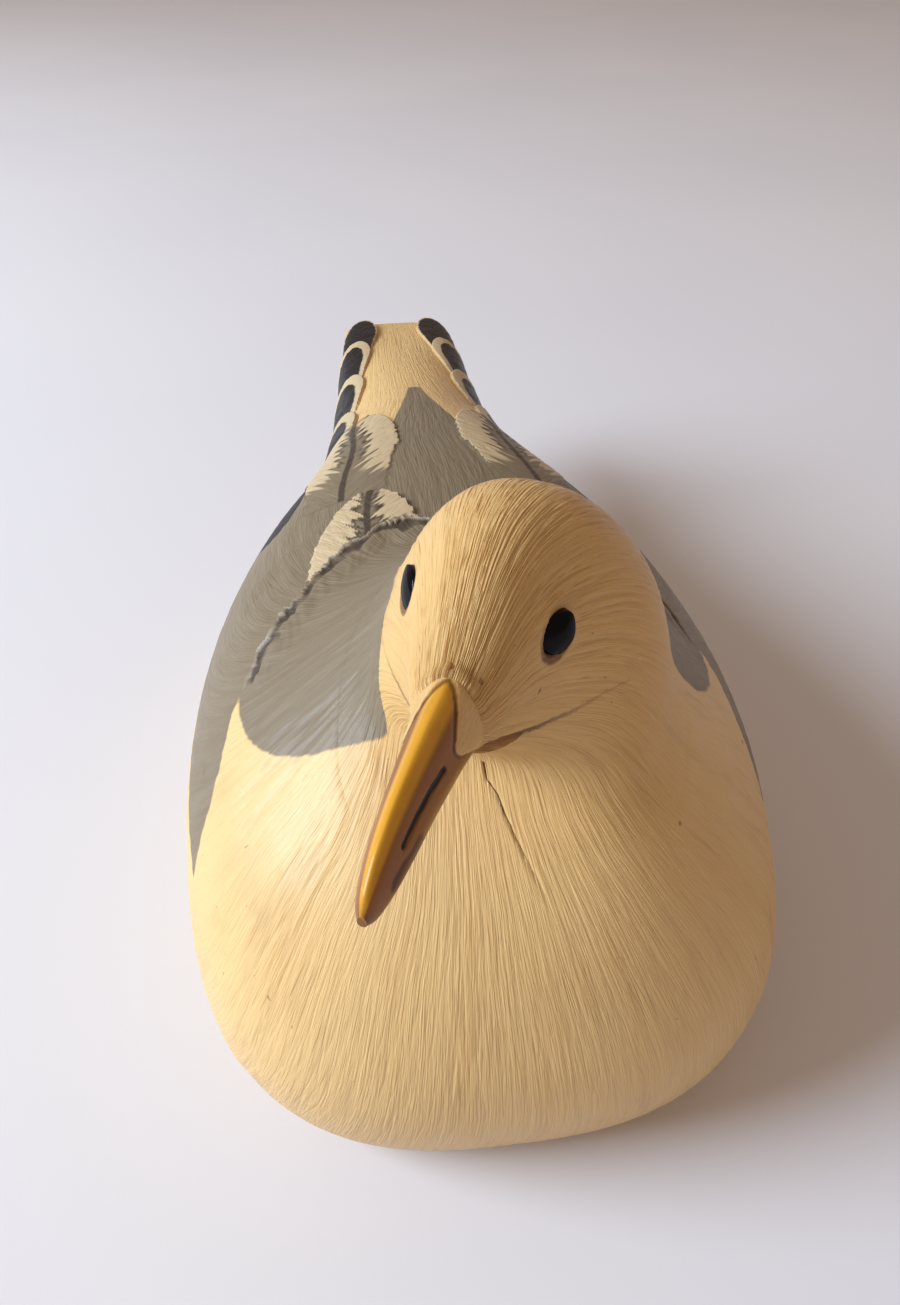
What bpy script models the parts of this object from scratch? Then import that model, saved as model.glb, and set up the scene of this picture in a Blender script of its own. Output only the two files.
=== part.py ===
"""A carved and painted gull with its head turned to its right, resting on its flat underside.

The gull faces -Y, its tail points to +Y and its left side is +X. All sizes are in metres.
The body, head, bill and feathers are one carving; each glass eye is a piece of its own.
"""

import math

import bmesh
import bpy
import numpy as np
from mathutils import Vector
from mathutils.bvhtree import BVHTree

# The carving from breast to tail, across the breast and up to the crown
LENGTH = 0.340
WIDTH = 0.153
HEIGHT = 0.155

# Turn of the head towards the gull's right, about an upright line through the neck
HEAD_TURN = math.radians(24.0)

# Bill, measured from where the forehead feathers meet its ridge
BILL_LENGTH = 0.0445
BILL_DEPTH = 0.0170
BILL_WIDTH = 0.0128
BILL_ROOT = 0.014

# Glass eyes: a drop-shaped plug with a domed face, in a socket with room all round
EYE_LENGTH = 0.0096
EYE_HEIGHT = 0.0076
EYE_DEPTH = 0.0040
EYE_DOME = 0.0012
EYE_GAP = 0.0003

# How far the left and right eye face forward of sideways and both face upward, the slant of
# the drop's long axis, and how much the drop narrows towards its point
EYE_FORWARD_LEFT = math.radians(49.0)
EYE_FORWARD_RIGHT = math.radians(31.0)
EYE_UPWARD = math.radians(14.0)
EYE_SLANT = math.radians(30.0)
EYE_NARROWING = 0.38

# Flight feathers that lie along each side of the tail: how long their rounded tips are, and
# how far one stands over the next
PRIMARY_LENGTH = 0.052
PRIMARY_WIDTH = 0.0135
PRIMARY_TIP = 0.014
PRIMARY_STEP = 0.0026

# Broad feathers on the lower back, and the cape of feathers over the shoulders
TERTIAL_LENGTH = 0.080
TERTIAL_WIDTH = 0.0300
TERTIAL_TIP = 0.040
TERTIAL_STEP = 0.0016
CAPE_STEP = 0.0014

# How the feathers of each set splay out from the gull's middle line towards their roots
PRIMARY_SPLAY = math.radians(9.0)
TERTIAL_SPLAY = math.radians(6.0)

# How far the feathers reach down into the body that carries them, the share of their rise
# that their roots dip below it, and the share that is lost from the quill to the sides
FEATHER_SINK = 0.0030
FEATHER_DIP = 0.4
FEATHER_CROWN = 0.35

# Mesh density
AROUND = 48
BILL_AROUND = 20
DROP_AROUND = 24
BETWEEN_STATIONS = 3
BETWEEN_BILL_STATIONS = 2

# One step of the carver's drawing along, across and up the gull
LONG = LENGTH / 340
WIDE = WIDTH / 150
HIGH = HEIGHT / 155

# Where the drawing puts the line the head turns about, and the foot of the bill's ridge
# on the forehead (along, up)
NECK_LINE = -117.0
BILL_TOP = (-148.0, 142.0)

# Place inside the head that the eyes face away from (along, up)
EYE_HEART = (-113.0, 132.8)

# Tips of the flight feathers (across, along), rearmost first, then of the broad feathers
PRIMARY_TIPS = ((13.5, 167.0), (17.5, 143.0), (21.5, 111.0), (26.0, 76.0))
TERTIAL_TIPS = ((21.0, 52.0), (20.0, -22.0))

# A feather's half width as a share of its widest, at even steps from its root to where the
# tip begins, the turns round its rounded tip, and its columns from side to side
FEATHER_SWELL = (0.75, 0.86, 0.94, 0.99)
TIP_TURNS = (0.0, 25.0, 48.0, 68.0, 84.0)
FEATHER_COLUMNS = (-1.0, -0.55, 0.0, 0.55, 1.0)

# Rings of an eye's dome, as shares of its outline
DOME_SHARES = (0.88, 0.68, 0.42, 0.15)

# Rear edge of the cape (across, along), from the middle of the back to the shoulder, the
# place where it fades into the back in front, and its least length
CAPE_EDGE = ((0, -50), (10, -45), (18, -44), (26, -51), (34, -58), (42, -68), (50, -77), (56, -86))
CAPE_FRONT = -80.0
CAPE_LEAST = 12.0

# Rows of the cape from front to rear, how steeply it rises from its outer ends, and how far
# it starts below the back there, as shares of its step
CAPE_ROWS = 6
CAPE_END_SLOPE = 5.0
CAPE_END_DIP = 0.3

# Stations from the face to the tail, in steps of the drawing: upper edge (along, up),
# lower edge (along, up), half width, height of the widest place between them (0 at the
# upper edge, 1 at the lower), fullness above and below it, share of the head's turn, and
# how far the station leans to the gull's left
STATIONS = (
    (-152, 140.0, -152, 127, 5.4, 0.50, 2.0, 2.0, 1.00, 0.0),
    (-146, 143.0, -149, 123, 8.0, 0.52, 2.0, 2.0, 1.00, 0.0),
    (-139, 147.5, -145, 119, 10.2, 0.57, 2.0, 2.1, 1.00, 0.0),
    (-130, 152.5, -140, 114.5, 13.0, 0.63, 2.0, 2.3, 1.00, 0.0),
    (-118, 155, -134.5, 109.5, 17.4, 0.68, 2.1, 2.5, 1.00, 0.0),
    (-104, 153.5, -131.5, 105, 23.4, 0.68, 2.2, 2.7, 1.00, 0.8),
    (-92, 147, -132.5, 100.5, 27.4, 0.63, 2.2, 2.7, 1.00, 2.0),
    (-83, 138, -136.5, 95, 30.2, 0.56, 2.2, 2.7, 0.92, 3.4),
    (-77, 128, -143, 89.5, 33.2, 0.52, 2.2, 2.7, 0.66, 4.0),
    (-70, 119, -153, 79, 40.6, 0.50, 2.1, 2.7, 0.32, 3.4),
    (-60, 111.5, -164, 62, 52.5, 0.52, 2.1, 2.5, 0.10, 1.8),
    (-47, 108, -172, 41, 64, 0.54, 2.1, 2.6, 0.00, 0.5),
    (-33, 106.5, -171, 19, 71.5, 0.55, 2.1, 2.65, 0.00, 0.0),
    (-19, 105, -161.5, 1, 75, 0.55, 2.1, 2.65, 0.00, 0.0),
    (-5, 103.5, -139, -7, 74.5, 0.55, 2.1, 2.5, 0.00, 0.0),
    (11, 101.5, -102, -9, 68.2, 0.54, 2.1, 2.4, 0.00, 0.0),
    (29, 98.5, -62, -9, 56.8, 0.52, 2.1, 2.3, 0.00, 0.0),
    (49, 95, -17, -9, 45.4, 0.50, 2.1, 2.2, 0.00, 0.0),
    (71, 91, 32, -5, 36.6, 0.46, 2.1, 2.2, 0.00, 0.0),
    (95, 87, 78, 11, 30.6, 0.42, 2.1, 2.1, 0.00, 0.0),
    (120, 83.5, 116, 34, 26.8, 0.40, 2.2, 2.1, 0.00, 0.0),
    (145, 80.5, 145, 55, 24.5, 0.42, 2.5, 2.3, 0.00, 0.0),
    (168, 78.5, 168, 69, 22, 0.45, 3.0, 2.6, 0.00, 0.0),
)

# Bill stations from root to tip: distance along it as a share of its length, height of its
# ridge and of its underside as shares of its depth, half width as a share of its half width
BILL_STATIONS = (
    (0.00, 1.00, 0.00, 1.00),
    (0.22, 0.99, 0.06, 0.82),
    (0.48, 0.97, 0.12, 0.66),
    (0.68, 0.92, 0.12, 0.55),
    (0.84, 0.80, 0.16, 0.44),
    (0.95, 0.62, 0.22, 0.29),
    (1.00, 0.44, 0.30, 0.12),
)

# The bill's section: height of its widest place (0 at the ridge, 1 at the underside), and
# fullness above and below it
BILL_WIDEST = 0.60
BILL_FULLNESS = (1.7, 2.2)


def middle_of_length():
    """Where the middle between the foremost point and the tail's end falls in the drawing."""
    reach = NECK_LINE - BILL_TOP[0] + BILL_LENGTH / LONG
    corner = BILL_STATIONS[-1][3] * BILL_WIDTH / 2 / LONG * math.sin(HEAD_TURN)
    bill_tip = NECK_LINE - reach * math.cos(HEAD_TURN) - corner
    breast = min(row[2] for row in STATIONS)
    tail = STATIONS[-1][0]
    return (min(bill_tip, breast) + tail) / 2


MIDDLE = middle_of_length()


def clear_scene():
    for item in list(bpy.data.objects):
        bpy.data.objects.remove(item, do_unlink=True)


def paint(name, colour, roughness):
    finish = bpy.data.materials.new(name)
    finish.use_nodes = True
    surface = finish.node_tree.nodes["Principled BSDF"]
    surface.inputs["Base Color"].default_value = (*colour, 1.0)
    surface.inputs["Roughness"].default_value = roughness
    surface.inputs["Metallic"].default_value = 0.0
    return finish


def smooth_rows(rows, between):
    """Extra rows on a smooth curve through the given ones (Catmull-Rom)."""
    rows = np.array(rows, float)
    padded = np.vstack([2 * rows[0] - rows[1], rows, 2 * rows[-1] - rows[-2]])
    found = []
    for i in range(1, len(padded) - 2):
        before, start, end, after = padded[i - 1 : i + 3]
        for step in range(between):
            t = step / between
            found.append(
                0.5
                * (
                    2 * start
                    + (end - before) * t
                    + (2 * before - 5 * start + 4 * end - after) * t**2
                    + (3 * start - before - 3 * end + after) * t**3
                )
            )
    found.append(rows[-1])
    return found


def half_section(widest, above, below, count):
    """Evenly spaced (depth, spread) pairs down one side, both from 0 to 1."""
    turn = np.linspace(0, math.pi, 200)
    rise = np.cos(turn)
    power = np.where(rise > 0, above, below)
    height = np.sign(rise) * np.abs(rise) ** (2 / power)
    spread = np.abs(np.sin(turn)) ** (2 / power)
    depth = np.where(height > 0, widest * (1 - height), widest - (1 - widest) * height)
    run = np.concatenate([[0], np.cumsum(np.hypot(np.diff(depth), np.diff(spread)))])
    even = np.linspace(0, run[-1], count)
    return np.interp(even, run, depth), np.interp(even, run, spread)


def turned(points, share):
    """Points turned about the neck line by a share of the head's turn."""
    angle = HEAD_TURN * share
    along = points[:, 1] - (NECK_LINE - MIDDLE) * LONG
    x = points[:, 0] * math.cos(angle) + along * math.sin(angle)
    y = along * math.cos(angle) - points[:, 0] * math.sin(angle)
    return np.column_stack([x, y + (NECK_LINE - MIDDLE) * LONG, points[:, 2]])


def ring(top, bottom, half_width, widest, above, below, around):
    """A closed section between two edge points (along, up), left side first."""
    depth, spread = half_section(widest, above, below, around // 2 + 1)
    depth = np.concatenate([depth, depth[-2:0:-1]])
    spread = np.concatenate([spread, -spread[-2:0:-1]])
    y = top[0] + (bottom[0] - top[0]) * depth
    z = top[1] + (bottom[1] - top[1]) * depth
    return np.column_stack([half_width * spread, y, z])


def finish_object(name, shape, finish):
    mesh = bpy.data.meshes.new(name)
    shape.to_mesh(mesh)
    shape.free()
    mesh.shade_smooth()
    mesh.set_sharp_from_angle(angle=math.radians(40))
    mesh.materials.append(finish)
    made = bpy.data.objects.new(name, mesh)
    bpy.context.scene.collection.objects.link(made)
    return made


def mesh_of_rings(name, rings, finish):
    """A closed skin over a row of rings with equal counts of points."""
    shape = bmesh.new()
    rows = [[shape.verts.new(point) for point in one] for one in rings]
    for row, following in zip(rows, rows[1:]):
        for i in range(len(row)):
            j = (i + 1) % len(row)
            shape.faces.new((row[i], row[j], following[j], following[i]))
    ends = [shape.faces.new(rows[0][::-1]), shape.faces.new(rows[-1])]
    bmesh.ops.triangulate(shape, faces=ends)
    bmesh.ops.recalc_face_normals(shape, faces=shape.faces)
    return finish_object(name, shape, finish)


def hide_helper(item):
    item.hide_render = True
    item.display_type = "WIRE"


def combine(item, helper, operation):
    hide_helper(helper)
    step = item.modifiers.new(helper.name, "BOOLEAN")
    step.operation = operation
    step.solver = "EXACT"
    step.object = helper


def body_rings():
    rings = []
    for row in smooth_rows(STATIONS, BETWEEN_STATIONS):
        top = ((row[0] - MIDDLE) * LONG, row[1] * HIGH)
        bottom = ((row[2] - MIDDLE) * LONG, row[3] * HIGH)
        section = ring(top, bottom, row[4] * WIDE, row[5], row[6], row[7], AROUND)
        section[:, 0] += row[9] * WIDE
        rings.append(turned(section, row[8]))
    return rings


def bill_rings():
    """The bill's sections, with a root that runs on into the head."""
    top = BILL_TOP[1] * HIGH
    start = (BILL_TOP[0] - MIDDLE) * LONG
    rows = [(-BILL_ROOT / BILL_LENGTH, 1.02, 0.02, 1.0)]
    rows += [tuple(row) for row in BILL_STATIONS]
    rings = []
    for row in smooth_rows(rows, BETWEEN_BILL_STATIONS):
        along = start - row[0] * BILL_LENGTH
        ridge = (along, top + (row[1] - 1) * BILL_DEPTH)
        under = (along, top + (row[2] - 1) * BILL_DEPTH)
        half_width = row[3] * BILL_WIDTH / 2
        section = ring(ridge, under, half_width, BILL_WIDEST, *BILL_FULLNESS, BILL_AROUND)
        rings.append(turned(section, 1.0))
    return rings


def drop_outline(length, height):
    """A drop lying along the first axis, its point towards +."""
    points = []
    for i in range(DROP_AROUND):
        angle = 2 * math.pi * i / DROP_AROUND
        along = math.cos(angle)
        swell = 1.0 - EYE_NARROWING * max(along, 0.0) ** 2
        points.append((length / 2 * along, height / 2 * math.sin(angle) * swell))
    return points


def eye_frame(body, side):
    """An eye's centre on the head's skin, and its outward, lengthwise and upward directions."""
    heart = turned(np.array([(0.0, (EYE_HEART[0] - MIDDLE) * LONG, EYE_HEART[1] * HIGH)]), 1.0)[0]
    forward = EYE_FORWARD_LEFT if side > 0 else EYE_FORWARD_RIGHT
    level = math.cos(EYE_UPWARD)
    outward = np.array(
        [(side * math.cos(forward) * level, -math.sin(forward) * level, math.sin(EYE_UPWARD))]
    )
    back = np.array([(0.0, math.cos(EYE_SLANT), math.sin(EYE_SLANT))])
    at_line = turned(np.zeros((1, 3)), 1.0)
    outward = Vector((turned(outward, 1.0) - at_line)[0]).normalized()
    back = Vector((turned(back, 1.0) - at_line)[0])
    back = (back - back.dot(outward) * outward).normalized()
    centre = body.ray_cast(Vector(heart), outward)[0]
    return centre, outward, back, outward.cross(back) * side


def drop_plug(name, frame, grow, levels, finish):
    """A drop-shaped plug standing in the head: levels are (height outward, share of size)."""
    centre, outward, back, rise = frame
    outline = drop_outline(EYE_LENGTH + 2 * grow, EYE_HEIGHT + 2 * grow)
    rings = []
    for height, share in levels:
        middle = centre + outward * height
        rings.append([middle + back * (a * share) + rise * (b * share) for a, b in outline])
    return mesh_of_rings(name, rings, finish)


def eye_levels():
    dome = [(EYE_DOME * (1 - share**2), share) for share in DOME_SHARES]
    return [(-EYE_DEPTH, 1.0), (0.0, 1.0), *dome]


def body_top(body, x, y):
    """The body's upper side at a place, pulled in to the rim where the place is past it."""
    while True:
        spot, normal = body.ray_cast(Vector((x, y, 2 * HEIGHT)), Vector((0, 0, -1)))[:2]
        if spot is not None:
            return spot, normal
        x *= 0.98
        y *= 0.995


def laid_plate(name, body, places, rises, finish):
    """A plate that follows the body's upper side: a grid of (x, y) places and their rises."""
    rows, columns = rises.shape
    shape = bmesh.new()
    upper = np.empty((rows, columns), object)
    lower = np.empty((rows, columns), object)
    for r in range(rows):
        for c in range(columns):
            spot, normal = body_top(body, *places[r, c])
            upper[r, c] = shape.verts.new(spot + normal * rises[r, c])
            lower[r, c] = shape.verts.new(spot - normal * FEATHER_SINK)
    for r in range(rows - 1):
        for c in range(columns - 1):
            shape.faces.new((upper[r, c], upper[r + 1, c], upper[r + 1, c + 1], upper[r, c + 1]))
            shape.faces.new((lower[r, c], lower[r, c + 1], lower[r + 1, c + 1], lower[r + 1, c]))
    edge = [(0, c) for c in range(columns)] + [(r, columns - 1) for r in range(1, rows)]
    edge += [(rows - 1, c) for c in range(columns - 2, -1, -1)] + [(r, 0) for r in range(rows - 2, 0, -1)]
    for here, there in zip(edge, edge[1:] + edge[:1]):
        shape.faces.new((upper[here], upper[there], lower[there], lower[here]))
    bmesh.ops.triangulate(shape, faces=shape.faces)
    bmesh.ops.recalc_face_normals(shape, faces=shape.faces)
    return finish_object(name, shape, finish)


def leaf(name, body, root, tip, width, tip_length, step, finish):
    """A feather with a round tip, below the body's surface at its root and proud at its tip."""
    axis = np.subtract(tip, root)
    length = np.hypot(*axis)
    tip_share = tip_length / length
    turn = np.radians(TIP_TURNS)
    shaft = np.arange(len(FEATHER_SWELL)) / len(FEATHER_SWELL) * (1 - tip_share)
    along = np.concatenate([shaft, 1 - tip_share * (1 - np.sin(turn))])
    swell = np.concatenate([FEATHER_SWELL, np.cos(turn)])
    across = np.array(FEATHER_COLUMNS)
    sideways = np.array([-axis[1], axis[0]]) / length
    middle = np.array(root) + along[:, None] * axis
    places = middle[:, None, :] + (width / 2 * swell[:, None] * across)[:, :, None] * sideways
    crown = 1.0 - FEATHER_CROWN * across**2
    rises = step * ((1 + FEATHER_DIP) * along[:, None] ** 0.5 - FEATHER_DIP) * crown
    return laid_plate(name, body, places, rises, finish)


def feathers(body, finish):
    """The raised feathers of both wings, and the cape."""
    made = []
    sets = (
        ("primary", PRIMARY_TIPS, PRIMARY_SPLAY, PRIMARY_LENGTH, PRIMARY_WIDTH, PRIMARY_TIP, PRIMARY_STEP),
        ("tertial", TERTIAL_TIPS, TERTIAL_SPLAY, TERTIAL_LENGTH, TERTIAL_WIDTH, TERTIAL_TIP, TERTIAL_STEP),
    )
    for kind, tips, splay, length, width, tip_length, step in sets:
        for side, word in ((1, "left"), (-1, "right")):
            for index, (across, along) in enumerate(tips):
                tip = (side * across * WIDE, (along - MIDDLE) * LONG)
                root = (tip[0] + side * length * math.sin(splay), tip[1] - length * math.cos(splay))
                label = f"{kind}_{word}_{index}"
                made.append(leaf(label, body, root, tip, width, tip_length, step, finish))
    made.append(cape(body, finish))
    return made


def cape(body, finish):
    """The layer of feathers over both shoulders, proud of the back along its rear edge."""
    edge = np.array(smooth_rows(CAPE_EDGE, 2))
    across = np.concatenate([-edge[:0:-1, 0], edge[:, 0]])
    rear = np.concatenate([edge[:0:-1, 1], edge[:, 1]])
    front = np.minimum(CAPE_FRONT, rear - CAPE_LEAST)
    share = np.linspace(0, 1, CAPE_ROWS)
    proud = CAPE_END_SLOPE * (1 - np.abs(across) / edge[-1, 0]) - CAPE_END_DIP
    y = front + share[:, None] * (rear - front)
    x = np.broadcast_to(across, y.shape)
    places = np.stack([x * WIDE, (y - MIDDLE) * LONG], -1)
    rises = CAPE_STEP * (np.minimum(share[:, None] * 2, 1 + proud) - 1)
    return laid_plate("cape", body, places, rises, finish)


def floor_cutter(finish):
    """A slab under the gull that planes its underside flat."""
    bpy.ops.mesh.primitive_cube_add(size=1, location=(0, 0, -HEIGHT / 4))
    slab = bpy.context.object
    slab.name = "underside_plane"
    slab.scale = (2 * WIDTH, 2 * LENGTH, HEIGHT / 2)
    bpy.ops.object.transform_apply(location=False, rotation=False, scale=True)
    slab.data.materials.append(finish)
    return slab


def build():
    clear_scene()
    carved = paint("painted carving", (0.78, 0.66, 0.44), 0.45)
    glass = paint("black glass", (0.01, 0.01, 0.012), 0.08)
    gull = mesh_of_rings("gull", body_rings(), carved)
    corners = [vertex.co for vertex in gull.data.vertices]
    body = BVHTree.FromPolygons(corners, [face.vertices for face in gull.data.polygons])
    combine(gull, mesh_of_rings("bill", bill_rings(), carved), "UNION")
    for feather in feathers(body, carved):
        combine(gull, feather, "UNION")
    for side, word in ((1, "left"), (-1, "right")):
        frame = eye_frame(body, side)
        reach = [(-EYE_DEPTH - EYE_GAP, 1.0), (2 * EYE_DEPTH, 1.0)]
        combine(gull, drop_plug(f"socket_{word}", frame, EYE_GAP, reach, carved), "DIFFERENCE")
        drop_plug(f"eye_{word}", frame, 0.0, eye_levels(), glass)
    combine(gull, floor_cutter(carved), "DIFFERENCE")


build()
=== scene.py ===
"""The painted and varnished look of the carved gull: grooves, feathers, paint, floor and light."""

import math

import bmesh
import bpy
import numpy as np
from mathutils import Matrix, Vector
from mathutils.bvhtree import BVHTree


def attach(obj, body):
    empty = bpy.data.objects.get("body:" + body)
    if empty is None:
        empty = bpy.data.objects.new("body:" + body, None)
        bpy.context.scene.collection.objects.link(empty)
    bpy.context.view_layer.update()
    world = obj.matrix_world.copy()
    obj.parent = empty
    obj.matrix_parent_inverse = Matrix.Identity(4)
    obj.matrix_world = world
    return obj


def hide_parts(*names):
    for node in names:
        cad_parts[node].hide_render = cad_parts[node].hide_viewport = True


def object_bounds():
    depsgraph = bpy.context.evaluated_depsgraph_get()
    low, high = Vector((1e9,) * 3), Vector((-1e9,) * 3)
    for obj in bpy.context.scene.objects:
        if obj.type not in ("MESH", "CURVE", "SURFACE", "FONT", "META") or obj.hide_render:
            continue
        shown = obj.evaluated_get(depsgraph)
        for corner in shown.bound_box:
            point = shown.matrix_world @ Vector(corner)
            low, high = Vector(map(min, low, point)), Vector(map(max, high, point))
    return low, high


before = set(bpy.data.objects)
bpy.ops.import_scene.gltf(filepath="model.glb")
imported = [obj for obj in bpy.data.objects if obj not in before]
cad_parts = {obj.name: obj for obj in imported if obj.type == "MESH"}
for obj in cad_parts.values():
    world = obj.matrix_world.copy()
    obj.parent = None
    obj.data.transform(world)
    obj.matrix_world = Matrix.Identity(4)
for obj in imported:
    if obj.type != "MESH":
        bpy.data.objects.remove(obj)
CAD_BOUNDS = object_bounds()

# The carver's drawing: one step of it along, across and up the gull, in metres
LONG = 0.340 / 340
WIDE = 0.153 / 150
HIGH = 0.155 / 155
MILLIMETRE = 0.001

HEAD_TURN = math.radians(24.0)
NECK_LINE = -117.0
BILL_TOP = (-148.0, 142.0)
BILL_LENGTH = 44.5
BILL_DEPTH = 17.0
BILL_WIDTH = 12.8
BILL_ROOT = 14.0
BILL_WIDEST = 0.60
BILL_FULLNESS = (1.7, 2.2)

# Upper edge (along, up), lower edge (along, up), half width, widest place between them,
# fullness above and below it, share of the head's turn, and lean to the gull's left, from
# the face to the tail
STATIONS = (
    (-152, 140.0, -152, 127, 5.4, 0.50, 2.0, 2.0, 1.00, 0.0),
    (-146, 143.0, -149, 123, 8.0, 0.52, 2.0, 2.0, 1.00, 0.0),
    (-139, 147.5, -145, 119, 10.2, 0.57, 2.0, 2.1, 1.00, 0.0),
    (-130, 152.5, -140, 114.5, 13.0, 0.63, 2.0, 2.3, 1.00, 0.0),
    (-118, 155, -134.5, 109.5, 17.4, 0.68, 2.1, 2.5, 1.00, 0.0),
    (-104, 153.5, -131.5, 105, 23.4, 0.68, 2.2, 2.7, 1.00, 0.8),
    (-92, 147, -132.5, 100.5, 27.4, 0.63, 2.2, 2.7, 1.00, 2.0),
    (-83, 138, -136.5, 95, 30.2, 0.56, 2.2, 2.7, 0.92, 3.4),
    (-77, 128, -143, 89.5, 33.2, 0.52, 2.2, 2.7, 0.66, 4.0),
    (-70, 119, -153, 79, 40.6, 0.50, 2.1, 2.7, 0.32, 3.4),
    (-60, 111.5, -164, 62, 52.5, 0.52, 2.1, 2.5, 0.10, 1.8),
    (-47, 108, -172, 41, 64, 0.54, 2.1, 2.6, 0.00, 0.5),
    (-33, 106.5, -171, 19, 71.5, 0.55, 2.1, 2.65, 0.00, 0.0),
    (-19, 105, -161.5, 1, 75, 0.55, 2.1, 2.65, 0.00, 0.0),
    (-5, 103.5, -139, -7, 74.5, 0.55, 2.1, 2.5, 0.00, 0.0),
    (11, 101.5, -102, -9, 68.2, 0.54, 2.1, 2.4, 0.00, 0.0),
    (29, 98.5, -62, -9, 56.8, 0.52, 2.1, 2.3, 0.00, 0.0),
    (49, 95, -17, -9, 45.4, 0.50, 2.1, 2.2, 0.00, 0.0),
    (71, 91, 32, -5, 36.6, 0.46, 2.1, 2.2, 0.00, 0.0),
    (95, 87, 78, 11, 30.6, 0.42, 2.1, 2.1, 0.00, 0.0),
    (120, 83.5, 116, 34, 26.8, 0.40, 2.2, 2.1, 0.00, 0.0),
    (145, 80.5, 145, 55, 24.5, 0.42, 2.5, 2.3, 0.00, 0.0),
    (168, 78.5, 168, 69, 22, 0.45, 3.0, 2.6, 0.00, 0.0),
)
# Bill from its root to its tip: share of its length, ridge and lower edge as shares of its
# depth, and share of its width
BILL_STATIONS = (
    (0.00, 1.00, 0.00, 1.00),
    (0.22, 0.99, 0.06, 0.82),
    (0.48, 0.97, 0.12, 0.66),
    (0.68, 0.92, 0.12, 0.55),
    (0.84, 0.80, 0.16, 0.44),
    (0.95, 0.62, 0.22, 0.29),
    (1.00, 0.44, 0.30, 0.12),
)
# The same with the root that the head hides
BILL_PROFILE = ((-BILL_ROOT / BILL_LENGTH, 1.02, 0.02, 1.0), *BILL_STATIONS)
BILL_REACH = NECK_LINE - BILL_TOP[0] + BILL_LENGTH
BILL_CORNER = BILL_STATIONS[-1][3] * BILL_WIDTH / 2 * math.sin(HEAD_TURN)
MIDDLE = (NECK_LINE - BILL_REACH * math.cos(HEAD_TURN) - BILL_CORNER + STATIONS[-1][0]) / 2

# Feathers: tip (across, along), splay, length, width, length of the rounded tip, and rise
PRIMARIES = (
    ((13.5, 167.0), 9.0, 52.0, 13.5, 14.0, 2.6),
    ((17.5, 143.0), 9.0, 52.0, 13.5, 14.0, 2.6),
    ((21.5, 111.0), 9.0, 52.0, 13.5, 14.0, 2.6),
    ((26.0, 76.0), 9.0, 52.0, 13.5, 14.0, 2.6),
)
TERTIALS = (
    ((21.0, 52.0), 6.0, 80.0, 30.0, 40.0, 1.6),
    ((20.0, -22.0), 6.0, 80.0, 30.0, 40.0, 1.6),
)
# How far the black paint of the flight feathers stays back from their inner side, from
# their outer side and from their tip, rearmost first
BLACK_STAYS = ((0.4, 0.4, 1.0), (2.2, 1.0, 5.0), (2.4, 1.0, 5.5), (2.4, 1.0, 5.5))
FEATHER_DIP = 0.4
FEATHER_CROWN = 0.35
# A feather's barbs: slant from the quill, width and length of a groove between them
BARB_SLANT = math.radians(38)
BARB_WIDTH = 1.5
BARB_LENGTH = 9.0

# Rear edge of the cape (across, along) and its rise
CAPE_EDGE = ((0, -50), (10, -45), (18, -44), (26, -51), (34, -58), (42, -68), (50, -77), (56, -86))
CAPE_RISE = 1.8
CAPE_RAMP = 13.0
# Low second edge behind the cape's outer part (across, along)
SECOND_EDGE = ((30, -34), (39, -38), (47, -41), (55, -47), (62, -58))

# Outline of the grey paint on the back and cape (across, along), from the tail's side
BACK_PAINT = (
    (-30, 76), (2, 75), (6, 54), (12.5, 28), (16, 24), (22, 46), (30, 62), (46, 66), (90, 60), (90, -84),
    (57, -86), (56.5, -94), (54.5, -101), (51.5, -106), (47, -110.5), (40, -114.5),
    (30, -118), (20, -121), (-30, -122),
)
# Front edge of the wing's grey paint as (up, along), its lower edge as (along, up), and how
# high the grey runs up the neck, as (along, up)
WING_FRONT = (
    (56, -116.5), (58, -115.5), (63, -114), (73, -109), (79, -103), (83, -97), (86, -91), (90, -86),
    (125, -40),
)
WING_FOOT = (
    (-117, 56), (-110, 58), (-95, 62), (-75, 65), (-40, 63), (0, 62), (40, 66), (76, 73), (112, 79),
)
NECK_FOOT = ((-124, 104), (-112, 106), (-90, 109), (-66, 116))
# The same on the right side of the neck
NECK_RIGHT = (
    (-130, 93), (-124, 98), (-119.5, 104), (-116.5, 111), (-114.1, 116.5), (-111.5, 120), (-108, 122),
    (-103, 122.3), (-96, 120.5), (-88, 118), (-76, 116.5), (-66, 116),
)
# Black stripe of the folded wing (across, along)
WING_STRIPE = (
    (22, 84), (25, 71), (29, 50), (33, 30), (38, 8), (42, -7), (45, -15), (49, -20), (53, -21),
    (56, -17), (58, -8), (58, 24), (50, 60), (36, 92), (22, 100),
)

# Marks of the head: mouth's stain (back along, up), crack in the throat (up, across), upper
# edge of the bare gape (along, up), and the two chips (across, along, up)
MOUTH_LINE = ((123, 121.6), (130, 120.4), (136, 121.0), (140, 122.3), (148, 125.8))
CRACK_LINE = ((27, 21.7), (84.3, 11.4), (89, 9.7), (94, 7.3), (97.6, 5.1), (99.8, 2.5), (103, 1.5))
GAPE_LINE = ((-148, 126.4), (-139.3, 121.8), (-130, 117))
CHIP_LINES = (
    ((27.6, -114.0, 123.9), (27.7, -113.6, 123.4)),
    ((29.9, -107.7, 122.0), (30.1, -107.2, 121.2)),
)
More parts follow.
